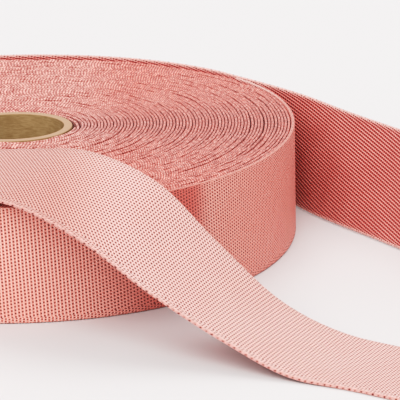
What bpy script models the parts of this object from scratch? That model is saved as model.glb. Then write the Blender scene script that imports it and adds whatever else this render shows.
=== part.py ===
# A roll of flat webbing on a cardboard core. The roll lies on its side with its turns
# facing up, and the loose end leaves it at the back, loops round on the surface and
# comes back over the roll's front rim.
import bpy
import numpy as np
from math import cos, sin, radians, hypot

# Driving sizes, in metres
webbing_width = 0.040
webbing_thickness = 0.0013
clearance = 0.0003
core_radius = 0.0220
core_wall = 0.0035
core_bevel = 0.0004
roll_radius = 0.1096

# The roll is pressed out of round: its outline is the radius plus these waves,
# each with the number of lobes, the cosine part and the sine part
outline_waves = (
    {"lobes": 2, "cosine": -0.0012, "sine": -0.0028},
    {"lobes": 3, "cosine": -0.0020, "sine": 0.0017},
)
# The middle of the roll's outline lies this far from the middle of the core
outline_shift_x = -0.0051
outline_shift_y = 0.0031

# Where the core stands when the model's origin is the middle of its footprint
core_x = -0.06414
core_y = 0.05616

# The wider grooves between bands of turns, seen on the top face
grooves = (
    {"inside_the_rim": 0.0016, "depth": 0.0007},
    {"inside_the_rim": 0.0105, "depth": 0.0009},
    {"inside_the_rim": 0.0230, "depth": 0.0006},
    {"inside_the_rim": 0.0370, "depth": 0.0008},
    {"inside_the_rim": 0.0520, "depth": 0.0006},
    {"inside_the_rim": 0.0670, "depth": 0.0006},
    {"inside_the_rim": 0.0800, "depth": 0.0009},
)
groove_half_width = 0.0008
roll_steps = 96
core_steps = 64

# The loose end first hugs the outline between these directions, in degrees
hug_start = 83
hug_end = 37
hug_step = 6.5
foot_height = 0.0009

# Then it runs through these sections. x, y and z place the bottom edge from the foot of
# the core's axis, in millimetres. The other edge lies the webbing's width away: lean is
# the angle from upright and towards the direction in plan that it leans to, in degrees.
sections = (
    {"x": 95.4, "y": 45.6, "z": 0.9, "lean": 7, "towards": 29},
    {"x": 106, "y": 20, "z": 0.8, "lean": 19, "towards": 32},
    {"x": 128, "y": -17, "z": 0.6, "lean": 22, "towards": 32},
    {"x": 160, "y": -66, "z": 0.5, "lean": 9, "towards": 38},
    {"x": 199, "y": -108, "z": 0.4, "lean": 0, "towards": 60},
    {"x": 235, "y": -152, "z": 0.4, "lean": 0, "towards": 90},
    {"x": 242, "y": -194, "z": 0.6, "lean": 1, "towards": 118},
    {"x": 226, "y": -217, "z": 1.5, "lean": 15, "towards": 120},
    {"x": 199, "y": -225, "z": 1.6, "lean": 47, "towards": 88},
    {"x": 172, "y": -217, "z": 0.8, "lean": 81, "towards": 65},
    {"x": 134, "y": -197, "z": 0.7, "lean": 89, "towards": 61},
    {"x": 109, "y": -183, "z": 0.7, "lean": 88, "towards": 61},
    {"x": 95, "y": -175.5, "z": 1.5, "lean": 87, "towards": 61},
    {"x": 73, "y": -162, "z": 9.8, "lean": 88, "towards": 60},
    {"x": 50, "y": -149, "z": 22, "lean": 80, "towards": 56},
    {"x": 29, "y": -136, "z": 35.2, "lean": 74, "towards": 51},
    {"x": 7, "y": -120, "z": 43, "lean": 76, "towards": 51},
    {"x": -15, "y": -101, "z": 42, "lean": 80, "towards": 51},
    {"x": -37, "y": -83, "z": 41.5, "lean": 86, "towards": 50},
    {"x": -70, "y": -56, "z": 41.3, "lean": 90, "towards": 50},
)
upright_towards = 29
millimetre = 0.001
station_spacing = 0.006
across_points = (0.0, 0.5, 1.0)


def clear_scene():
    for item in list(bpy.data.objects):
        bpy.data.objects.remove(item, do_unlink=True)


def make_material(name, colour, roughness):
    material = bpy.data.materials.new(name)
    material.use_nodes = True
    shader = material.node_tree.nodes["Principled BSDF"]
    shader.inputs["Base Color"].default_value = (*colour, 1.0)
    shader.inputs["Roughness"].default_value = roughness
    shader.inputs["Metallic"].default_value = 0.0
    material.diffuse_color = (*colour, 1.0)
    return material


def add_object(name, mesh, material, collection, parent):
    item = bpy.data.objects.new(name, mesh)
    mesh.materials.append(material)
    collection.objects.link(item)
    item.parent = parent
    return item


def turned(name, profile, steps):
    """A closed profile of (radius, height) points, turned once about Z with a Screw."""
    mesh = bpy.data.meshes.new(name)
    count = len(profile)
    edges = [(i, (i + 1) % count) for i in range(count)]
    mesh.from_pydata([(radius, 0.0, height) for radius, height in profile], edges, [])
    item = bpy.data.objects.new(name, mesh)
    bpy.context.scene.collection.objects.link(item)
    screw = item.modifiers.new("Turn", "SCREW")
    screw.axis = "Z"
    screw.angle = radians(360)
    screw.steps = steps
    screw.render_steps = steps
    screw.use_merge_vertices = True
    screw.merge_threshold = 0.00001
    screw.use_smooth_shade = False
    graph = bpy.context.evaluated_depsgraph_get()
    solid = bpy.data.meshes.new_from_object(item.evaluated_get(graph))
    bpy.data.objects.remove(item, do_unlink=True)
    return solid


def outline_radius(angle):
    """R + the sum of cosine * cos(lobes * angle) + sine * sin(lobes * angle)."""
    waves = sum(w["cosine"] * np.cos(w["lobes"] * angle) + w["sine"] * np.sin(w["lobes"] * angle)
                for w in outline_waves)
    return roll_radius + waves


def press_out_of_round(mesh):
    """Moves each turn from its circle towards the outline, more the further out it lies."""
    places = np.empty(len(mesh.vertices) * 3)
    mesh.vertices.foreach_get("co", places)
    places = places.reshape(-1, 3)
    radius = np.hypot(places[:, 0], places[:, 1])
    angle = np.arctan2(places[:, 1], places[:, 0])
    share = np.clip((radius - core_radius) / (roll_radius - core_radius), 0, 1)
    pressed = radius + share * (outline_radius(angle) - roll_radius)
    places[:, 0] = pressed * np.cos(angle) + share * outline_shift_x
    places[:, 1] = pressed * np.sin(angle) + share * outline_shift_y
    mesh.vertices.foreach_set("co", places.ravel())
    mesh.update()


def roll_profile():
    """Outer side down, underside in, bore up, then the top face out over its grooves."""
    bore = core_radius + clearance
    points = [(roll_radius, webbing_width), (roll_radius, 0.0), (bore, 0.0), (bore, webbing_width)]
    for groove in reversed(grooves):
        middle = roll_radius - groove["inside_the_rim"]
        points.append((middle - groove_half_width, webbing_width))
        points.append((middle, webbing_width - groove["depth"]))
        points.append((middle + groove_half_width, webbing_width))
    return points


def core_profile():
    inner = core_radius - core_wall
    return [
        (core_radius, webbing_width - core_bevel), (core_radius, core_bevel),
        (core_radius - core_bevel, 0.0), (inner + core_bevel, 0.0),
        (inner, core_bevel), (inner, webbing_width - core_bevel),
        (inner + core_bevel, webbing_width), (core_radius - core_bevel, webbing_width),
    ]


def hugging_sections():
    """Sections that stand on edge against the outline, the clearance away from it."""
    rows = []
    stand_off = clearance + webbing_thickness / 2
    for angle in np.arange(hug_start, hug_end, -hug_step):
        turn = radians(angle)
        reach = outline_radius(turn) + stand_off
        x = outline_shift_x + reach * cos(turn)
        y = outline_shift_y + reach * sin(turn)
        rows.append((x, y, foot_height, 0.0, upright_towards))
    return rows


def smooth_rows(rows, spacing):
    """A cubic Hermite curve through the rows, read at even steps along its length."""
    rows = np.array(rows)
    gaps = np.linalg.norm(np.diff(rows[:, :3], axis=0), axis=1)
    along = np.concatenate([[0.0], np.cumsum(gaps)])
    slopes = np.gradient(rows, along, axis=0)
    stations = np.linspace(0, along[-1], int(along[-1] / spacing) + 1)
    k = np.clip(np.searchsorted(along, stations, side="right") - 1, 0, len(gaps) - 1)
    t = ((stations - along[k]) / gaps[k])[:, None]
    reach = gaps[k][:, None]
    start = (1 + 2 * t) * (1 - t) ** 2 * rows[k] + t * (1 - t) ** 2 * reach * slopes[k]
    end = t * t * (3 - 2 * t) * rows[k + 1] + t * t * (t - 1) * reach * slopes[k + 1]
    return start + end


def keep_clear(point, half_thickness):
    """Lifts a point off the surface, and sets it off the roll's side or on top of it."""
    x, y, z = point
    x_in, y_in = x - outline_shift_x, y - outline_shift_y
    reach = hypot(x_in, y_in)
    limit = outline_radius(np.arctan2(y_in, x_in)) + clearance + half_thickness
    if reach < limit and y_in > 0:
        x, y = outline_shift_x + x_in * limit / reach, outline_shift_y + y_in * limit / reach
    elif reach < limit:
        z = max(z, webbing_width + clearance + half_thickness)
    return x, y, z


def loose_end_mesh():
    """Lofts a sheet through the sections, with a few points across each."""
    rows = hugging_sections()
    for s in sections:
        place = [s[key] * millimetre for key in ("x", "y", "z")]
        rows.append((*place, s["lean"], s["towards"]))
    half = webbing_thickness / 2
    places = []
    for x, y, z, lean, towards in smooth_rows(rows, station_spacing):
        out = webbing_width * sin(radians(lean))
        rise = webbing_width * cos(radians(lean))
        out_x, out_y = out * cos(radians(towards)), out * sin(radians(towards))
        foot = max(z, half * abs(sin(radians(lean))))
        for part in across_points:
            point = (x + part * out_x, y + part * out_y, foot + part * rise)
            places.append(keep_clear(point, half))
    wide = len(across_points)
    faces = []
    for i in range(len(places) // wide - 1):
        for j in range(wide - 1):
            corner = i * wide + j
            faces.append((corner, corner + wide, corner + wide + 1, corner + 1))
    mesh = bpy.data.meshes.new("loose_end")
    mesh.from_pydata(places, [], faces)
    return mesh


def build():
    clear_scene()
    collection = bpy.data.collections.new("webbing_roll")
    bpy.context.scene.collection.children.link(collection)
    place = bpy.data.objects.new("core_foot", None)
    place.location = (core_x, core_y, 0.0)
    collection.objects.link(place)

    webbing = make_material("webbing", (0.72, 0.27, 0.24), 0.75)
    loose_webbing = make_material("loose_webbing", (0.76, 0.30, 0.27), 0.75)
    cardboard = make_material("cardboard", (0.55, 0.40, 0.26), 0.9)

    core = turned("cardboard_core", core_profile(), core_steps)
    add_object("cardboard_core", core, cardboard, collection, place)

    roll = turned("wound_roll", roll_profile(), roll_steps)
    press_out_of_round(roll)
    add_object("wound_roll", roll, webbing, collection, place)

    tail = add_object("loose_end", loose_end_mesh(), loose_webbing, collection, place)
    thick = tail.modifiers.new("Thickness", "SOLIDIFY")
    thick.thickness = webbing_thickness
    thick.offset = 0.0
    thick.use_even_offset = True


build()
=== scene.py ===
from math import cos, radians, sin

import bpy
import numpy as np
from mathutils import Matrix, Vector


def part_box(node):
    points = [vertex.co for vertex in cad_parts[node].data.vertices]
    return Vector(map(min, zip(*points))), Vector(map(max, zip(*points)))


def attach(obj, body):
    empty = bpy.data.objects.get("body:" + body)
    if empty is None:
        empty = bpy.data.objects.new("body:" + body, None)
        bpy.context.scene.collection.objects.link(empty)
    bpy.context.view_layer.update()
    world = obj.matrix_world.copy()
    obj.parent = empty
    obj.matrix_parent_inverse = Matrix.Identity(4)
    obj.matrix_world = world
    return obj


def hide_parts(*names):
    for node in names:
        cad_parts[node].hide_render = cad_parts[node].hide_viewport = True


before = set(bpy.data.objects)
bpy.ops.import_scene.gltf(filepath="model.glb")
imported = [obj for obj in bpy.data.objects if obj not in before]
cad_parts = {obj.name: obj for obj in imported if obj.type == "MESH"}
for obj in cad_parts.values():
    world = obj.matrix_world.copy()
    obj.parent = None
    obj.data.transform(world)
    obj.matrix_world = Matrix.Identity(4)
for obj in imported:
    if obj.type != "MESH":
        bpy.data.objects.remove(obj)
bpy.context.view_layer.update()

millimetre = 0.001
wholeTurn = 6.28318

# The core stands where the frame says, and everything is placed from the foot of its axis
coreLow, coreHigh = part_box("cardboard_core")
coreFoot = np.array([(coreLow[0] + coreHigh[0]) / 2, (coreLow[1] + coreHigh[1]) / 2, 0.0])
coreRadius = (coreHigh[0] - coreLow[0]) / 2
rollHeight = coreHigh[2]

webbing = {
    "width": rollHeight,
    "thickness": 0.00125,
    "pick": 0.00119,  # weft spacing along the webbing
    "row": 0.00116,  # repeat across it, four warp yarns
    "selvedge": 0.0017,  # girth of the round edge
}

# The roll's outline as in the CAD model: radius plus waves, round a shifted middle
outline = {
    "radius": 0.1096,
    "shift": (-0.0051, 0.0031),
    "waves": (
        {"lobes": 2, "cosine": -0.0012, "sine": -0.0028},
        {"lobes": 3, "cosine": -0.0020, "sine": 0.0017},
    ),
}
clearance = 0.0003
sharpAngle = 60  # degrees between two faces past which their edge stays sharp


# 3t^2 - 2t^3 between the two limits, flat outside them
def smoothStep(low, high, value):
    t = np.clip((value - low) / (high - low), 0, 1)
    return t * t * (3 - 2 * t)


# Outline radius: R + the sum of cosine cos(lobes a) + sine sin(lobes a)
def outlineRadius(angle):
    ripple = sum(
        wave["cosine"] * np.cos(wave["lobes"] * angle) + wave["sine"] * np.sin(wave["lobes"] * angle)
        for wave in outline["waves"]
    )
    return outline["radius"] + ripple


# Quads from station i to i + 1 and girth point j to j + 1, with along and around as the UV
def gridMesh(name, places, along, around, ring=False):
    stations, girth = places.shape[:2]
    first = np.arange(stations if ring else stations - 1)
    i, j = np.meshgrid(first, np.arange(girth), indexing="ij")
    here, there, nextPoint = i * girth, (i + 1) % stations * girth, (j + 1) % girth
    quads = np.stack([here + j, here + nextPoint, there + nextPoint, there + j], -1)
    faces = quads.reshape(-1, 4).tolist()
    u = np.stack([along[i], along[i], along[i + 1], along[i + 1]], -1)
    v = np.stack([around[j], around[j + 1], around[j + 1], around[j]], -1)
    uv = np.stack([u, v], -1).reshape(-1, 2)
    if not ring:  # both cut ends are closed
        faces.append(list(range(girth - 1, -1, -1)))
        faces.append(list(range((stations - 1) * girth, stations * girth)))
        startUv = np.stack([np.full(girth, along[0]), around[:girth][::-1]], -1)
        endUv = np.stack([np.full(girth, along[-1]), around[:girth]], -1)
        uv = np.concatenate([uv, startUv, endUv])
    mesh = bpy.data.meshes.new(name)
    mesh.from_pydata(places.reshape(-1, 3), [], faces)
    layer = mesh.uv_layers.new(name="weave")
    layer.data.foreach_set("uv", uv.ravel().astype(np.float32))
    mesh.shade_smooth()
    mesh.set_sharp_from_angle(angle=radians(sharpAngle))
    return mesh


# A piece that rides on the whole object and stands for one CAD node
def addPiece(name, mesh, material, node):
    piece = bpy.data.objects.new(name, mesh)
    bpy.context.scene.collection.objects.link(piece)
    mesh.materials.append(material)
    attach(piece, "root")
    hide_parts(node)
    return piece


# A socket takes a link from another socket, or else a plain value
def feed(tree, socket, value):
    if isinstance(value, bpy.types.NodeSocket):
        tree.links.new(value, socket)
    else:
        socket.default_value = value


# One sum: the operation on its values, in their order
def calc(tree, operation, *values):
    node = tree.nodes.new("ShaderNodeMath")
    node.operation = operation
    for socket, value in zip(node.inputs, values):
        feed(tree, socket, value)
    return node.outputs[0]


# A smooth step from start to end while the value goes from low to high
def ramp(tree, value, low, high, start=0.0, end=1.0):
    node = tree.nodes.new("ShaderNodeMapRange")
    node.interpolation_type = "SMOOTHSTEP"
    numbers = {"Value": value, "From Min": low, "From Max": high, "To Min": start, "To Max": end}
    for label, number in numbers.items():
        feed(tree, node.inputs[label], number)
    return node.outputs["Result"]


# first (1 - factor) + second factor, or first times second when they are multiplied
def mixColour(tree, factor, first, second, blend="MIX"):
    node = tree.nodes.new("ShaderNodeMix")
    node.data_type = "RGBA"
    node.blend_type = blend
    feed(tree, node.inputs[0], factor)
    feed(tree, node.inputs[6], first)  # the colours come after the plain numbers
    feed(tree, node.inputs[7], second)
    return node.outputs[2]


# Noise with scale blobs to the metre
def noise(tree, vector, scale, detail, roughness=0.5):
    node = tree.nodes.new("ShaderNodeTexNoise")
    node.inputs["Scale"].default_value = scale
    node.inputs["Detail"].default_value = detail
    node.inputs["Roughness"].default_value = roughness
    tree.links.new(vector, node.inputs["Vector"])
    return node.outputs["Fac"]


# A place or a UV pair taken apart
def splitVector(tree, vector):
    node = tree.nodes.new("ShaderNodeSeparateXYZ")
    tree.links.new(vector, node.inputs["Vector"])
    return node.outputs


# A piece's own UV: the length along it and the girth round it, both in metres
def addUv(tree):
    node = tree.nodes.new("ShaderNodeUVMap")
    node.uv_map = "weave"
    return node.outputs["UV"]


# Small relief: the height times the distance, by its strength
def addRelief(tree, shader, height, strength, distance):
    node = tree.nodes.new("ShaderNodeBump")
    node.inputs["Strength"].default_value = strength
    node.inputs["Distance"].default_value = distance
    tree.links.new(height, node.inputs["Height"])
    tree.links.new(node.outputs["Normal"], shader.inputs["Normal"])


# A node group with a plain number at each named input and output
def newGroup(name, inputs, outputs):
    tree = bpy.data.node_groups.new(name, "ShaderNodeTree")
    for label in inputs:
        tree.interface.new_socket(name=label, in_out="INPUT", socket_type="NodeSocketFloat")
    for label in outputs:
        tree.interface.new_socket(name=label, in_out="OUTPUT", socket_type="NodeSocketFloat")
    return tree, tree.nodes.new("NodeGroupInput"), tree.nodes.new("NodeGroupOutput")


# A material, with its node tree and the shader in it
def newMaterial(name):
    material = bpy.data.materials.new(name)
    material.use_nodes = True
    return material, material.node_tree, material.node_tree.nodes["Principled BSDF"]


weave = {
    "outerFace": {"pick": 1.0, "row": 0.8, "cross": 1.05, "point": 0.35},  # share of each wave
    "innerFace": {"pick": 0.6, "row": 1.4, "cross": 0.6, "point": 0.0},
    "skew": -0.045,  # how far the picks lean along for each metre across
    "rowStep": 0.25,  # how many rows lower the next pick crosses
    # A gap's deep red is painted shade, and a crown's pale a painted highlight
    "gap": (0.45, 1.9),  # the waves' sum where a gap starts, and where it is deepest
    "crown": (-1.35, -0.2),  # and where a crown is palest, and where it ends
    "height": -0.4,  # relief for each unit of the waves' sum
    "uneven": 0.9,  # how much one gap differs from the next
    "wander": 0.00012,
    # Of the edge, in girths of it: the strands, the turn to the inner face, and a pinhole's slant
    "rim": (0.32, 0.56),
    "turnOver": (0.4, 1.1),
    "slant": 0.5,
    "hole": (0.06, 0.36),  # where a pinhole starts to close, and where it ends
    "holeClose": -2.2,  # how much it closes
    "edgeRepeat": 3.6,  # picks from one deep pinhole to the next
    "edgeSlow": 0.6,  # how much the deep ones stand out
    "dash": (-0.6, 0.4),  # the slow wave where a dash starts, and where it is full
    "loop": (-0.4, 0.9),  # the same for the wave of the pinholes
}


# The weave: four waves whose crests meet at a gap. The rows lie a quarter of their
# spacing lower at each pick, so gaps = pick cos a + row cos b + cross cos (b - a) +
# point cos (a + b), with a = leaned along / pick spacing and b = across / row spacing
# + a / 4, in turns. Pick, Row and Cross scale those waves on the outer face; Loop is the
# number of pinholes of the edge for each pick, and Hole their depth.
def weaveGroup():
    tree, given, result = newGroup(
        "webbingWeave",
        ("Along", "Around", "Wander", "Uneven", "Pick", "Row", "Cross", "Loop", "Hole"),
        ("Gaps", "Crowns", "Height", "Inner", "Edge", "Rim", "Dashes", "Loops"),
    )
    width, rim = webbing["width"], webbing["selvedge"]
    loop = width + rim  # girth from the middle of one edge to the middle of the other
    unsteady = calc(tree, "SUBTRACT", given.outputs["Wander"], 0.5)
    wander = calc(tree, "MULTIPLY", unsteady, weave["wander"])
    # The girth past the top of the outer face comes back down the inner one, as a height
    fromTop = calc(tree, "SUBTRACT", given.outputs["Around"], width + rim / 2)
    across = calc(tree, "SUBTRACT", width + rim / 2, calc(tree, "ABSOLUTE", fromTop))
    along = calc(tree, "ADD", given.outputs["Along"], wander)
    leaned = calc(tree, "MULTIPLY_ADD", across, weave["skew"], along)
    picks = calc(tree, "DIVIDE", leaned, webbing["pick"])
    rows = calc(tree, "DIVIDE", calc(tree, "ADD", across, wander), webbing["row"])
    stepped = calc(tree, "MULTIPLY_ADD", picks, weave["rowStep"], rows)
    phases = {
        "pick": picks, "row": stepped,
        "cross": calc(tree, "SUBTRACT", stepped, picks), "point": calc(tree, "ADD", stepped, picks),
    }
    waves = {
        label: calc(tree, "COSINE", calc(tree, "MULTIPLY", phase, wholeTurn))
        for label, phase in phases.items()
    }
    outer, inner = 0.0, 0.0
    for label, wave in waves.items():
        share = weave["outerFace"][label]
        if label != "point":
            share = calc(tree, "MULTIPLY", given.outputs[label.title()], share)
        outer = calc(tree, "MULTIPLY_ADD", wave, share, outer)
        inner = calc(tree, "MULTIPLY_ADD", wave, weave["innerFace"][label], inner)
    near, far = (rim * share for share in weave["turnOver"])
    pastTop = ramp(tree, fromTop, near, far)
    pastFoot = ramp(tree, fromTop, loop - far, loop - near, 1.0, 0.0)
    onInner = calc(tree, "MULTIPLY", pastTop, pastFoot)
    faces = calc(tree, "MULTIPLY_ADD", calc(tree, "SUBTRACT", inner, outer), onInner, outer)
    # On the round edge a row of pinholes runs between two strands
    fromEdge = calc(tree, "WRAP", fromTop, loop / 2, -loop / 2)
    edgeOff = calc(tree, "DIVIDE", calc(tree, "ABSOLUTE", fromEdge), rim)
    onRim = ramp(tree, edgeOff, *weave["rim"], 1.0, 0.0)
    slant = calc(tree, "MULTIPLY_ADD", fromEdge, weave["slant"] / rim, picks)
    loopTurn = calc(tree, "MULTIPLY", given.outputs["Loop"], wholeTurn)
    loopWave = calc(tree, "COSINE", calc(tree, "MULTIPLY", slant, loopTurn))
    slowWave = calc(tree, "COSINE", calc(tree, "MULTIPLY", slant, wholeTurn / weave["edgeRepeat"]))
    hole = calc(tree, "MULTIPLY", loopWave, given.outputs["Hole"])
    hole = calc(tree, "MULTIPLY_ADD", slowWave, weave["edgeSlow"], hole)
    closing = ramp(tree, edgeOff, *weave["hole"])
    hole = calc(tree, "MULTIPLY_ADD", closing, weave["holeClose"], hole)
    total = calc(tree, "MULTIPLY_ADD", calc(tree, "SUBTRACT", hole, faces), onRim, faces)
    differs = calc(tree, "SUBTRACT", given.outputs["Uneven"], 0.5)
    depth = calc(tree, "ADD", total, calc(tree, "MULTIPLY", differs, weave["uneven"]))
    made = {
        "Gaps": ramp(tree, depth, *weave["gap"]),
        "Crowns": ramp(tree, total, *weave["crown"], 1.0, 0.0),
        "Height": calc(tree, "MULTIPLY", total, weave["height"]),
        "Inner": onInner,
        "Edge": edgeOff,
        "Rim": onRim,
        "Dashes": ramp(tree, slowWave, *weave["dash"]),
        "Loops": ramp(tree, loopWave, *weave["loop"]),
    }
    for label, socket in made.items():
        tree.links.new(socket, result.inputs[label])
    return tree


yarn = {
    # The loose end's shades are paler than the wound side's: a painted sheen where it faces up to
    # the light
    "free": {
        "crown": (0.89, 0.59, 0.545, 1.0), "light": (0.77, 0.335, 0.295, 1.0),
        # The drawn zone's colour on the loose end is a painted shade
        "rim": (0.78, 0.35, 0.31, 1.0), "drawnAndPaintedLight": (0.80, 0.22, 0.165, 1.0),
    },
    "wound": {
        "crown": (0.94, 0.57, 0.51, 1.0), "light": (0.90, 0.30, 0.245, 1.0),
        "rim": (0.64, 0.20, 0.16, 1.0), "drawnAndPaintedLight": (0.90, 0.30, 0.24, 1.0),
    },
    "packed": {
        "crown": (1.0, 0.43, 0.37, 1.0), "light": (0.87, 0.20, 0.155, 1.0),
        # The drawn zone's colour on the packed top is a painted light
        "drawnAndPaintedLight": (1.0, 0.60, 0.54, 1.0),
    },
    # The inner face's deeper reds are painted shade, for the loose end's inner face that lies in
    # shade
    "inner": {"crown": (0.96, 0.41, 0.36, 1.0), "light": (0.42, 0.026, 0.019, 1.0)},
    # Painted shade in the weave's gaps
    "paintedGapShade": (0.14, 0.016, 0.012, 1.0),
    # Painted shade with red bounce light, and a painted strap shadow, on the wound side
    "paintedRedBounce": (1.0, 0.29, 0.23, 1.0),
    "paintedStrapShadow": (0.60, 0.08, 0.06, 1.0),
    # Painted shade between the turns
    "betweenTurns": (0.25, 0.030, 0.022, 1.0),
    "blotch": 0.6,
    "beads": 0.85,
    "rimShare": 0.8,
    "roughness": 0.48,
    "specular": 0.5,
    "sheen": 0.15,
    "sheenRoughness": 0.5,
    "relief": 0.00025,
    "reliefStrength": 0.9,
    "unevenNoise": (900.0, 1.0),
}
# Noise over the yarns: its scale, detail and roughness, and the shades it gives between two limits
mottling = {"noise": (60.0, 3.0), "limits": (0.3, 0.7), "shades": (0.75, 1.0)}
fibres = {"noise": (2600.0, 2.0, 0.7), "limits": (0.25, 0.75), "shades": (0.88, 1.05)}
blotching = {"noise": (700.0, 2.0, 0.6), "limits": (0.62, 0.38)}
# Each kind's yarns wander, and its edge has pinholes: how many for a pick and how deep.
# The last number is how dark the painted shade between turns gets
edging = {
    "free": {"noise": (420.0, 2.0), "wander": 1.0, "loop": 0.55, "hole": 1.7, "between": 0.0},
    "wound": {"noise": (420.0, 2.0), "wander": 1.0, "loop": 1.0, "hole": 1.3, "between": 0.0},
    "packed": {"noise": (600.0, 2.0), "wander": 4.0, "loop": 1.0, "hole": 1.0, "between": 0.85},
}
# Painted shade between packed turns: where it starts and is full, off the edge's middle, and what it
# is made of
paintedShadeMarks = {"dip": (0.16, 0.5), "dashes": 0.35, "loops": 0.65, "blotchedLeast": 0.7}
# The weave is pulled out of square above the core's side of the roll, where the loose end
# takes a painted shade and the packed top a painted light: the zone's limits along X, each
# wave's share there, and how much of the zone's painted colour it takes
drawnAndPaintedLightZone = (-0.047, -0.020)
drawnAndPaintedLight = {
    "free": {"pick": 0.5, "row": 0.7, "cross": 1.8, "shade": 0.5},
    "wound": {"pick": 1.2, "row": 0.62, "cross": 0.57, "shade": 0.0},
    "packed": {"pick": 1.0, "row": 1.0, "cross": 1.0, "shade": 0.4},
}
# Between these places along Y the wound side takes the loose end's shades, so that both
# meet unseen
backZone = (0.075, 0.115)
# Wound side: painted shade and red bounce light towards the loop, and a painted shadow under the
# strap that crosses it
paintedRedBounceZone = {"limits": (-0.015, 0.045), "share": 0.75}
paintedStrapShadowZone = {"start": (-0.034, -0.002), "end": (0.0, 0.007), "share": 0.75}


# Shares of the wound side's painted shade with red bounce light, then of its painted strap
# shadow, one after the other, by the place along X
def paintSideShade(tree, colour, sideways, front):
    paintedRedBounce = ramp(tree, sideways, *paintedRedBounceZone["limits"], 0.0, paintedRedBounceZone["share"])
    colour = mixColour(tree, calc(tree, "MULTIPLY", paintedRedBounce, front), colour, yarn["paintedRedBounce"])
    starting = ramp(tree, sideways, *paintedStrapShadowZone["start"], 0.0, paintedStrapShadowZone["share"])
    ending = ramp(tree, sideways, *paintedStrapShadowZone["end"], 1.0, 0.0)
    return mixColour(tree, calc(tree, "MULTIPLY", starting, ending), colour, yarn["paintedStrapShadow"])


# Painted shade between the turns: each turn has its own blotches and beads of that dark, and
# the painted shade between turns comes in dashes: shade = dip (dashes share + loops share)
def paintShadeBetweenTurns(tree, colour, uv, group, between):
    paintedShade, loops = yarn["betweenTurns"], group.outputs["Loops"]
    blotches = ramp(tree, noise(tree, uv, *blotching["noise"]), *blotching["limits"])
    least = paintedShadeMarks["blotchedLeast"]
    blotched = calc(tree, "MULTIPLY_ADD", blotches, 1 - least, least)
    beads = calc(tree, "MULTIPLY", loops, blotched)
    colour = mixColour(tree, calc(tree, "MULTIPLY", blotches, yarn["blotch"]), colour, paintedShade)
    colour = mixColour(tree, calc(tree, "MULTIPLY", beads, yarn["beads"]), colour, paintedShade)
    dip = ramp(tree, group.outputs["Edge"], *paintedShadeMarks["dip"], 0.0, between)
    dotted = calc(tree, "MULTIPLY", loops, paintedShadeMarks["loops"])
    dash = calc(tree, "MULTIPLY_ADD", group.outputs["Dashes"], paintedShadeMarks["dashes"], dotted)
    return mixColour(tree, calc(tree, "MULTIPLY", dip, dash), colour, paintedShade)


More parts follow.
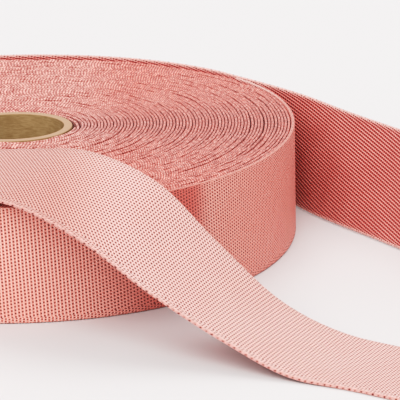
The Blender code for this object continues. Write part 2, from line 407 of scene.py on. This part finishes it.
# Polyester yarn: painted shade as a deep red in the weave's gaps, a painted highlight palest on the
# crowns of the yarns, painted shade as a deeper red on the inner face, and painted shade nearly
# dark where a turn dips between its neighbours
def webbingMaterial(name, weaves, kind):
    material, tree, shader = newMaterial(name)
    uv = addUv(tree)
    girthPlace = splitVector(tree, uv)
    place = tree.nodes.new("ShaderNodeTexCoord").outputs["Object"]
    spot = splitVector(tree, place)
    shades, edges, front = yarn[kind], edging[kind], 1.0
    if kind != "packed":
        front = ramp(tree, spot["Y"], *backZone, 1.0, 0.0)
    if kind == "wound":
        free = yarn["free"]
        shades = {
            label: mixColour(tree, front, free[label], shade) for label, shade in shades.items()
        }
    pulledAndPainted = calc(tree, "MULTIPLY", ramp(tree, spot["X"], *drawnAndPaintedLightZone, 1.0, 0.0), front)
    group = tree.nodes.new("ShaderNodeGroup")
    group.node_tree = weaves
    for label in ("pick", "row", "cross"):
        share = calc(tree, "MULTIPLY_ADD", pulledAndPainted, drawnAndPaintedLight[kind][label] - 1.0, 1.0)
        tree.links.new(share, group.inputs[label.title()])
    group.inputs["Loop"].default_value = edges["loop"]
    group.inputs["Hole"].default_value = edges["hole"]
    tree.links.new(girthPlace["X"], group.inputs["Along"])
    tree.links.new(girthPlace["Y"], group.inputs["Around"])
    wander = calc(tree, "MULTIPLY", noise(tree, place, *edges["noise"]), edges["wander"])
    tree.links.new(wander, group.inputs["Wander"])
    tree.links.new(noise(tree, place, *yarn["unevenNoise"]), group.inputs["Uneven"])
    # Painted shade: the inner face takes deeper reds
    light = mixColour(tree, group.outputs["Inner"], shades["light"], yarn["inner"]["light"])
    crown = mixColour(tree, group.outputs["Inner"], shades["crown"], yarn["inner"]["crown"])
    mottle = noise(tree, place, *mottling["noise"])
    mottle = ramp(tree, mottle, *mottling["limits"], *mottling["shades"])
    # A painted highlight on the crowns of the yarns
    colour = mixColour(tree, calc(tree, "MULTIPLY", group.outputs["Crowns"], mottle), light, crown)
    # In that zone the loose end takes a painted shade and the packed top a painted light
    paintedLightShare = calc(tree, "MULTIPLY", pulledAndPainted, drawnAndPaintedLight[kind]["shade"])
    colour = mixColour(tree, paintedLightShare, colour, shades["drawnAndPaintedLight"])
    # The wound side's painted shade, red bounce light and strap shadow
    if kind == "wound":
        colour = paintSideShade(tree, colour, spot["X"], front)
    if "rim" in shades:
        onRim = calc(tree, "MULTIPLY", group.outputs["Rim"], yarn["rimShare"])
        colour = mixColour(tree, onRim, colour, shades["rim"])
    grain = ramp(tree, noise(tree, place, *fibres["noise"]), *fibres["limits"], *fibres["shades"])
    tint = tree.nodes.new("ShaderNodeCombineColor")
    for label in ("Red", "Green", "Blue"):
        tree.links.new(grain, tint.inputs[label])
    colour = mixColour(tree, 1.0, colour, tint.outputs["Color"], "MULTIPLY")
    # Painted shade in the weave's gaps
    colour = mixColour(tree, group.outputs["Gaps"], colour, yarn["paintedGapShade"])
    # Painted shade between the turns
    if edges["between"]:
        colour = paintShadeBetweenTurns(tree, colour, uv, group, edges["between"])
    tree.links.new(colour, shader.inputs["Base Color"])
    shader.inputs["Roughness"].default_value = yarn["roughness"]
    shader.inputs["Specular IOR Level"].default_value = yarn["specular"]
    shader.inputs["Sheen Weight"].default_value = yarn["sheen"]
    shader.inputs["Sheen Roughness"].default_value = yarn["sheenRoughness"]
    addRelief(tree, shader, group.outputs["Height"], yarn["reliefStrength"], yarn["relief"])
    return material


board = {
    "inside": (0.25, 0.16, 0.075, 1.0),
    "pale": (0.34, 0.235, 0.125, 1.0),
    "rim": (0.41, 0.265, 0.185, 1.0),
    "fibreTurn": 0.9,  # radians that the fibres lean from the axis
    "fibreScale": (300.0, 1500.0, 1.0),
    "fibreNoise": (1.0, 4.0, 0.6),
    "blotchNoise": (160.0, 3.0),
    "fibreShare": 0.7,
    "blotchShare": 0.5,
    "limits": (0.42, 0.78),
    "rimLimits": (0.35, 0.8),  # how far up a face looks where the rim's shade starts and is full
    "roughness": 0.9,
    "specular": 0.2,
    "relief": 0.0002,
    "reliefStrength": 0.5,
}


# Paper board: long slanted fibres and wound plies, paler on the cut rim. The shade goes
# by fibre share times fibres + blotch share times blotches.
def boardMaterial():
    material, tree, shader = newMaterial("paperBoard")
    coordinates = tree.nodes.new("ShaderNodeTexCoord")
    stretch = tree.nodes.new("ShaderNodeMapping")
    stretch.inputs["Rotation"].default_value = (0.0, 0.0, board["fibreTurn"])
    stretch.inputs["Scale"].default_value = board["fibreScale"]
    tree.links.new(addUv(tree), stretch.inputs["Vector"])
    strands = noise(tree, stretch.outputs["Vector"], *board["fibreNoise"])
    blotches = noise(tree, coordinates.outputs["Object"], *board["blotchNoise"])
    strands = calc(tree, "MULTIPLY", strands, board["fibreShare"])
    mixed = calc(tree, "MULTIPLY_ADD", blotches, board["blotchShare"], strands)
    colour = mixColour(tree, ramp(tree, mixed, *board["limits"]), board["inside"], board["pale"])
    facing = splitVector(tree, tree.nodes.new("ShaderNodeNewGeometry").outputs["Normal"])
    onRim = ramp(tree, calc(tree, "ABSOLUTE", facing["Z"]), *board["rimLimits"])
    colour = mixColour(tree, onRim, colour, board["rim"])
    tree.links.new(colour, shader.inputs["Base Color"])
    shader.inputs["Roughness"].default_value = board["roughness"]
    shader.inputs["Specular IOR Level"].default_value = board["specular"]
    addRelief(tree, shader, mixed, board["reliefStrength"], board["relief"])
    return material


weaves = weaveGroup()
stripMaterial = webbingMaterial("webbingYarn", weaves, "free")
woundMaterial = webbingMaterial("woundYarn", weaves, "wound")
coilMaterial = webbingMaterial("packedYarn", weaves, "packed")
boardFinish = boardMaterial()
print("materials ready")


# The sum of the steps from the first point to each point
def lengthAlong(points):
    steps = np.linalg.norm(np.diff(points, axis=0), axis=1)
    return np.concatenate([[0.0], np.cumsum(steps)])


# Round the strip: outer face up, round edge, inner face down, round edge. Each row is the
# height across, the offset out and the girth, measured both ways from the middle of an edge.
def stripSection(edge, faceHeights):
    width, rim = webbing["width"], webbing["selvedge"]
    reach = lengthAlong(edge)
    middle = width + rim / 2
    outerTop = np.column_stack([width - edge[1:, 0], edge[1:, 1], middle - reach[1:]])[::-1]
    innerTop = np.column_stack([width - edge[1:, 0], -edge[1:, 1], middle + reach[1:]])
    outerFace = np.column_stack([faceHeights, np.full_like(faceHeights, edge[-1, 1]), faceHeights])
    innerFace = np.column_stack([faceHeights, -outerFace[:, 1], 2 * middle - faceHeights])[::-1]
    heel = 2 * middle + rim / 2
    innerFoot = np.column_stack([edge[1:, 0], -edge[1:, 1], heel - reach[1:]])[::-1]
    outerFoot = np.column_stack([edge[1:, 0], edge[1:, 1], heel + reach[1:]])
    rows = np.concatenate([
        outerFace, outerTop, [[width, 0.0, middle]], innerTop,
        innerFace, innerFoot, [[0.0, 0.0, heel]], outerFoot,
    ])
    return rows, np.append(rows[:, 2], 2 * middle + rim + rows[0, 2])


# A strip: foot + across * height + out * offset, its round edges scalloped once a pick
def stripMesh(name, foot, across, start, section, scallop):
    middle = foot + across * webbing["width"] / 2
    forward = np.gradient(middle, axis=0)
    out = np.cross(across, forward)
    out /= np.linalg.norm(out, axis=1)[:, None]
    along = start + lengthAlong(middle)
    rows, girth = section
    half = np.max(rows[:, 1])
    edgeShare = 1 - np.abs(rows[:, 1]) / half
    side = np.sign(rows[:, 0] - webbing["width"] / 2)
    bulge = scallop * np.cos(2 * np.pi * along / webbing["pick"] + np.pi)
    high = rows[None, :, 0] + bulge[:, None] * (edgeShare * side)[None, :]
    upwards = across[:, None, :] * high[..., None]
    outwards = out[:, None, :] * rows[None, :, 1, None]
    return gridMesh(name, foot[:, None, :] + upwards + outwards, along, girth), along[-1]


# The loose end hugs the roll between these directions, in degrees, before its sections
hug = {"start": 83, "end": 37, "step": 6.5}
leaveAngle = radians(hug["end"])

coil = {
    "turns": 67,
    "climbStart": 0.42,  # share of a turn where each layer climbs onto the next
    "climbEnd": 0.87,
    "innerEnd": 0.117,  # where the inner end was laid on the core
    "firstClimb": 0.85,
    "firstEase": 1.5,
    "overOutline": 0.0003,
    "topDrop": 0.0002,  # below the roll's height, with no ripple
    "topMost": 0.0002,  # the most that a ripple lifts the top
    "footLeast": 0.00002,
    "rippleMost": 0.0004,
    "looseFade": 9,  # turns over which a gap eases away inwards
    "sunkWidth": 0.45,  # turns that a sunk spot takes in
    "faceStart": 0.005,  # the face's first point, off each edge
    "seed": 7,
    "ripples": (  # seeded wander of the turns: knot spacing, sideways and up
        {"spacing": 0.080, "side": 0.000025, "up": 0.00012},
        {"spacing": 0.013, "side": 0.000020, "up": 0.00008},
        {"spacing": 0.004, "side": 0.000015, "up": 0.00016},
    ),
    # The rim dips below the outermost turn at the back: depth, direction and spread in
    # degrees, and how many turns in it fades
    "rimDip": {"drop": 0.0015, "towards": 85, "spread": 55, "fade": 2.5},
}
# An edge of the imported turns: depth below the top and half thickness there
coilEdge = np.array([(0.0, 0.0), (0.00010, 0.00022), (0.00042, 0.00042), (0.0013, 0.00060)])
# Spots where the turns stand apart: turns in from the rim, gap, direction and spread in degrees
looseSpots = (
    {"turnsIn": 0, "gap": 0.00040, "towards": -35, "spread": 55},
    {"turnsIn": 5, "gap": 0.00030, "towards": 18, "spread": 22},
    {"turnsIn": 8, "gap": 0.00030, "towards": 5, "spread": 40},
    {"turnsIn": 12, "gap": 0.00025, "towards": -5, "spread": 25},
    {"turnsIn": 20, "gap": 0.00010, "towards": 20, "spread": 40},
    {"turnsIn": 64, "gap": 0.00055, "towards": 8, "spread": 20},
)
# Turns that have sunk below their neighbours
sunkSpots = (
    {"turnsIn": 7.2, "drop": 0.0011, "towards": -25, "spread": 24},
    {"turnsIn": 5.5, "drop": 0.0016, "towards": 88, "spread": 40},
    {"turnsIn": 25, "drop": 0.0003, "towards": 30, "spread": 30},
    {"turnsIn": 38, "drop": 0.0003, "towards": -40, "spread": 40},
    {"turnsIn": 55, "drop": 0.0003, "towards": 60, "spread": 50},
)


# Layers out from the core at s turns along: whole turns, plus a late smooth climb in each
def layersOut(s):
    whole = np.floor(s)
    layers = whole + smoothStep(coil["climbStart"], coil["climbEnd"], s - whole)
    firstTurn = 1 + coil["innerEnd"]
    climbed = np.clip((s - coil["firstClimb"]) / (firstTurn - coil["firstClimb"]), 0, 1)
    return np.where(s < firstTurn, climbed ** coil["firstEase"], layers)


# How near a place on the coil is to a spot: a bell round its direction
def nearSpot(angle, spot):
    away = (np.degrees(angle) - spot["towards"] + 180) % 360 - 180
    return np.exp(-(away / spot["spread"]) ** 2)


# Middle of a layer in plan: from the core to the outline by its share, less loose gaps
def coilPlan(s):
    angle = leaveAngle - 2 * np.pi * s
    share = (layersOut(s) + 0.5) / coil["turns"]
    full = outlineRadius(angle) + coil["overOutline"] - coreRadius - clearance
    reach = coreRadius + clearance + share * full
    turnsIn = coil["turns"] - 1 - s
    for spot in looseSpots:
        past = turnsIn - spot["turnsIn"]
        fading = np.exp(-np.maximum(past, 0) / coil["looseFade"])
        reach = reach - spot["gap"] * nearSpot(angle, spot) * smoothStep(0.0, 1.0, past) * fading
    x = coreFoot[0] + share * outline["shift"][0] + reach * np.cos(angle)
    y = coreFoot[1] + share * outline["shift"][1] + reach * np.sin(angle)
    return np.stack([x, y], -1), np.stack([np.cos(angle), np.sin(angle)], -1)


# A smooth seeded wander: cosine blends between random knots a spacing apart
def wanderAlong(along, size, spacing, seed):
    knots = np.random.default_rng(seed).normal(0, size, int(along[-1] / spacing) + 3)
    place = along / spacing
    k = np.floor(place).astype(int)
    t = 0.5 - 0.5 * np.cos(np.pi * (place - k))
    return knots[k] * (1 - t) + knots[k + 1] * t


# A band of turns: the strip on edge along the coil, with its ripples, less the sunk spots
# and the dip of the rim, each a drop times a bell
def woundTurns(name, first, last, steps, seed):
    s = np.linspace(first, last, int((last - first) * steps) + 1)
    angle, turnsIn = leaveAngle - 2 * np.pi * s, coil["turns"] - 1 - s
    plan, outward = coilPlan(s)
    along = lengthAlong(plan)
    height = np.zeros(len(s))
    for k, ripple in enumerate(coil["ripples"]):
        side = wanderAlong(along, ripple["side"], ripple["spacing"], seed + 2 * k)
        plan = plan + outward * side[:, None]
        height += wanderAlong(along, ripple["up"], ripple["spacing"], seed + 2 * k + 1)
    height = np.clip(height, -coil["rippleMost"], coil["rippleMost"])
    for spot in sunkSpots:
        nearTurn = np.exp(-((turnsIn - spot["turnsIn"]) / coil["sunkWidth"]) ** 2)
        height -= spot["drop"] * nearSpot(angle, spot) * nearTurn
    dip = coil["rimDip"]
    height -= dip["drop"] * nearSpot(angle, dip) * np.exp(-turnsIn / dip["fade"])
    foot = np.concatenate([plan, np.maximum(height, coil["footLeast"])[:, None]], 1)
    top = rollHeight - coil["topDrop"] + np.minimum(height, coil["topMost"])
    across = np.zeros((len(s), 3))
    across[:, 2] = (top - foot[:, 2]) / webbing["width"]
    faceHeights = np.array([coil["faceStart"], webbing["width"] - coil["faceStart"]])
    return stripMesh(name, foot, across, 0.0, stripSection(coilEdge, faceHeights), 0.0)[0]


bands = (
    {"name": "innerTurns", "from": coil["innerEnd"], "to": 24, "steps": 128},
    {"name": "middleTurns", "from": 24, "to": 47, "steps": 192},
    {"name": "outerTurns", "from": 47, "to": coil["turns"] - 1, "steps": 256},
)
for order, band in enumerate(bands):
    seed = coil["seed"] + 10 * order
    mesh = woundTurns(band["name"], band["from"], band["to"], band["steps"], seed)
    addPiece(band["name"], mesh, coilMaterial, "wound_roll")
print("turns wound")

strip = {
    "facePoints": 6,
    "faceStart": 0.002,
    "edgePoints": 5,
    "scallop": 0.00011,
    "station": 0.0003,
    "riseOver": 0.2,  # share of a turn over which the outermost turn rises
    "turnFoot": 0.00012,
    "looseFoot": 0.0003,
    "floorGap": 0.00005,
    "halfSpace": 0.00065,  # half the room that the webbing takes beside the roll
}
# The free strip's edge: a half round, (half - half cos a, half sin a)
halfThickness = webbing["thickness"] / 2
edgeTurn = np.linspace(0, np.pi / 2, strip["edgePoints"])
stripEdge = np.column_stack([
    halfThickness - halfThickness * np.cos(edgeTurn),
    halfThickness * np.sin(edgeTurn),
])
faceEnd = webbing["width"] - strip["faceStart"]
stripHeights = np.linspace(strip["faceStart"], faceEnd, strip["facePoints"])
fullSection = stripSection(stripEdge, stripHeights)


# The outermost turn: from where the loose end leaves, once round to where that begins,
# rising to the loose end's foot over its last part
def outerTurn():
    end = coil["turns"] - (hug["start"] - hug["end"]) / 360
    count = int(2 * np.pi * outline["radius"] / strip["station"])
    s = np.linspace(coil["turns"] - 1, end, count)
    plan = coilPlan(s)[0]
    rise = smoothStep(end - strip["riseOver"], end, s) * (strip["looseFoot"] - strip["turnFoot"])
    foot = np.concatenate([plan, strip["turnFoot"] + rise[:, None]], 1)
    across = np.tile([0.0, 0.0, 1.0], (count, 1))
    return stripMesh("outerTurn", foot, across, 0.0, fullSection, strip["scallop"])


mesh, wound = outerTurn()
addPiece("outerTurn", mesh, woundMaterial, "wound_roll")
print("outer turn ready")

# The loose end's sections, close to the CAD model's: the bottom edge from the foot of the
# core's axis in millimetres, the lean from upright and the direction it leans to in degrees
sections = (
    {"x": 95.4, "y": 45.6, "z": 0.4, "lean": 7, "towards": 29},
    {"x": 106, "y": 20, "z": 0.5, "lean": 19, "towards": 32},
    {"x": 128, "y": -17, "z": 0.5, "lean": 22, "towards": 32},
    {"x": 160, "y": -66, "z": 0.5, "lean": 9, "towards": 38},
    {"x": 199, "y": -108, "z": 0.4, "lean": 0, "towards": 60},
    {"x": 235, "y": -152, "z": 0.4, "lean": 0, "towards": 90},
    {"x": 242, "y": -194, "z": 0.6, "lean": 1, "towards": 118},
    {"x": 226, "y": -217, "z": 1.5, "lean": 15, "towards": 120},
    {"x": 199, "y": -225, "z": 1.6, "lean": 47, "towards": 88},
    {"x": 172, "y": -217, "z": 0.8, "lean": 81, "towards": 65},
    {"x": 134, "y": -201, "z": 0.7, "lean": 86.5, "towards": 61},
    {"x": 109, "y": -183, "z": 0.7, "lean": 88, "towards": 61},
    {"x": 95, "y": -175.5, "z": 1.5, "lean": 87, "towards": 61},
    {"x": 73, "y": -162, "z": 9.8, "lean": 88, "towards": 60},
    {"x": 50, "y": -149, "z": 22, "lean": 80, "towards": 56},
    {"x": 29, "y": -136, "z": 35.2, "lean": 74, "towards": 51},
    {"x": 7, "y": -120, "z": 43, "lean": 76, "towards": 51},
    {"x": -15, "y": -101, "z": 42, "lean": 80, "towards": 51},
    {"x": -37, "y": -83, "z": 41.5, "lean": 86, "towards": 50},
    {"x": -70, "y": -56, "z": 41.3, "lean": 90, "towards": 50},
)
uprightTowards = 29


# A cubic Hermite curve through the rows, read at even steps along its length
def smoothRows(rows, spacing):
    along = lengthAlong(rows[:, :3])
    gaps = np.linalg.norm(np.diff(rows[:, :3], axis=0), axis=1)
    slopes = np.gradient(rows, along, axis=0)
    stations = np.linspace(0, along[-1], int(along[-1] / spacing) + 1)
    k = np.clip(np.searchsorted(along, stations, side="right") - 1, 0, len(gaps) - 1)
    t = ((stations - along[k]) / gaps[k])[:, None]
    reach = gaps[k][:, None]
    start = (1 + 2 * t) * (1 - t) ** 2 * rows[k] + t * (1 - t) ** 2 * reach * slopes[k]
    end = t * t * (3 - 2 * t) * rows[k + 1] + t * t * (t - 1) * reach * slopes[k + 1]
    return start + end


# The loose end: hugs the outline, then runs through the sections. Across it goes
# (sin lean cos towards, sin lean sin towards, cos lean).
def looseEnd():
    angle = np.radians(np.arange(hug["start"], hug["end"], -hug["step"]))
    reach = outlineRadius(angle) + clearance + strip["halfSpace"]
    x = outline["shift"][0] + reach * np.cos(angle)
    y = outline["shift"][1] + reach * np.sin(angle)
    blank = np.zeros_like(angle)
    hugging = np.stack([x, y, blank + strip["looseFoot"], blank, blank + uprightTowards], -1)
    keys = ("x", "y", "z", "lean", "towards")
    table = np.array([[section[key] for key in keys] for section in sections], float)
    table[:, :3] *= millimetre
    rows = smoothRows(np.concatenate([hugging, table]), strip["station"])
    lean, towards = np.radians(rows[:, 3]), np.radians(rows[:, 4])
    flat = np.sin(lean)
    across = np.stack([flat * np.cos(towards), flat * np.sin(towards), np.cos(lean)], -1)
    foot = rows[:, :3] + coreFoot
    foot[:, 2] = np.maximum(foot[:, 2], halfThickness * np.abs(flat) + strip["floorGap"])
    return stripMesh("looseWebbing", foot, across, wound, fullSection, strip["scallop"])


mesh, total = looseEnd()
loose = addPiece("looseWebbing", mesh, stripMaterial, "loose_end")
print("loose end laid", round(total - wound, 3))

core = {
    "wall": 0.0035,
    "slack": 0.0004,
    "topDrop": 0.0003,
    "round": 0.0004,
    "roundPoints": 4,
    "steps": 192,
}


# The core: rim, bore down, foot and outer side up, turned once round the axis as
# (radius cos a, radius sin a, height)
def coreTube():
    outer, inner = coreRadius - core["slack"], coreRadius - core["wall"]
    low, high, soft = 0.0, rollHeight - core["topDrop"], core["round"]
    turn = np.linspace(0, np.pi / 2, core["roundPoints"])
    rim = [(outer - soft + soft * cos(a), high - soft + soft * sin(a)) for a in turn]
    lip = [(inner + soft - soft * sin(a), high - soft + soft * cos(a)) for a in turn]
    foot = [(inner + soft - soft * cos(a), low + soft - soft * sin(a)) for a in turn]
    heel = [(outer - soft + soft * sin(a), low + soft - soft * cos(a)) for a in turn]
    profile = np.array(rim + lip + foot + heel)
    angle = np.linspace(0, -2 * np.pi, core["steps"] + 1)
    places = np.empty((core["steps"], len(profile), 3))
    places[..., 0] = coreFoot[0] + profile[None, :, 0] * np.cos(angle[:-1])[:, None]
    places[..., 1] = coreFoot[1] + profile[None, :, 0] * np.sin(angle[:-1])[:, None]
    places[..., 2] = profile[None, :, 1]
    girth = lengthAlong(np.concatenate([profile, profile[:1]]))
    return gridMesh("coreTube", places, angle * coreRadius, girth, ring=True)


addPiece("coreTube", coreTube(), boardFinish, "cardboard_core")
print("core ready")

stage = {"size": 8.0, "colour": (0.68, 0.67, 0.675, 1.0), "roughness": 0.7}


# A wide pale floor at height 0, which is part of the stage
def addFloor():
    bpy.ops.mesh.primitive_plane_add(size=stage["size"], location=(0, 0, 0))
    floor = bpy.context.active_object
    floor.name = "floor"
    material, tree, shader = newMaterial("paleFloor")
    shader.inputs["Base Color"].default_value = stage["colour"]
    shader.inputs["Roughness"].default_value = stage["roughness"]
    floor.data.materials.append(material)


addFloor()

# Soft suns: where each comes from, its strength, its spread in degrees and its colour
suns = (
    {
        "name": "frontLight", "from": (-0.28, -0.9, 0.9),
        "strength": 2.4, "spread": 60, "colour": (1.0, 0.985, 0.97),
    },
    {
        "name": "topLight", "from": (0.1, 0.6, 1.0),
        "strength": 0.95, "spread": 40, "colour": (1.0, 0.99, 0.985),
    },
)
sky = {"strength": 0.88, "colour": (1.0, 0.985, 0.98, 1.0)}

for sun in suns:
    lamp = bpy.data.lights.new(sun["name"], "SUN")
    lamp.energy = sun["strength"]
    lamp.angle = radians(sun["spread"])
    lamp.color = sun["colour"]
    holder = bpy.data.objects.new(sun["name"], lamp)
    holder.rotation_euler = Vector(sun["from"]).to_track_quat("Z", "Y").to_euler()
    bpy.context.scene.collection.objects.link(holder)
world = bpy.data.worlds.new("studio")
world.use_nodes = True
world.node_tree.nodes["Background"].inputs["Color"].default_value = sky["colour"]
world.node_tree.nodes["Background"].inputs["Strength"].default_value = sky["strength"]
bpy.context.scene.world = world
toneCurve = (
    (0, 0), (0.05, 0.026), (0.12, 0.088), (0.25, 0.24),
    (0.45, 0.475), (0.62, 0.63), (0.8, 0.735), (1, 0.835),
)


# The tone of a photograph: darks a little deeper, brights held back
def setTone():
    settings = bpy.context.scene.view_settings
    settings.view_transform = "Standard"
    settings.use_curve_mapping = True
    mapping = settings.curve_mapping
    curve = mapping.curves[3]  # the one for all three colours together
    curve.points[0].location = toneCurve[0]
    curve.points[1].location = toneCurve[-1]
    for place in toneCurve[1:-1]:
        curve.points.new(*place)
    mapping.extend = "EXTRAPOLATED"
    mapping.update()


setTone()
print("lights ready")

# The camera's tilt and roll in degrees, its distance from the top of the core and how far
# that lies off the middle of the view, and its focal length for a picture so many wide
view = {
    "tilt": 15.456,
    "roll": -1.047,
    "distance": 1.150,
    "right": 0.067,
    "drop": 0.0281,
    "focal": 3197,
    "frame": 400,
    "sensor": 36.0,
    "nearest": 0.05,
}


# The camera looks along +Y, tilted down: place = core's top + right - distance * forward
# - drop * up
def addCamera():
    tilt, roll = radians(view["tilt"]), radians(view["roll"])
    forward = Vector((0, cos(tilt), -sin(tilt)))
    up = Vector((0, sin(tilt), cos(tilt)))
    right = Vector((1, 0, 0))
    aim = Vector(coreFoot) + Vector((view["right"], 0, rollHeight))
    place = aim - view["distance"] * forward - view["drop"] * up
    turnedRight = cos(roll) * right + sin(roll) * up
    turnedUp = -sin(roll) * right + cos(roll) * up
    lens = bpy.data.cameras.new("photoCamera")
    lens.sensor_width = view["sensor"]
    lens.lens = view["focal"] / view["frame"] * lens.sensor_width
    lens.clip_start = view["nearest"]
    camera = bpy.data.objects.new("photoCamera", lens)
    turn = Matrix((turnedRight, turnedUp, -forward)).transposed().to_4x4()
    camera.matrix_world = Matrix.Translation(place) @ turn
    bpy.context.scene.collection.objects.link(camera)
    bpy.context.scene.camera = camera


addCamera()
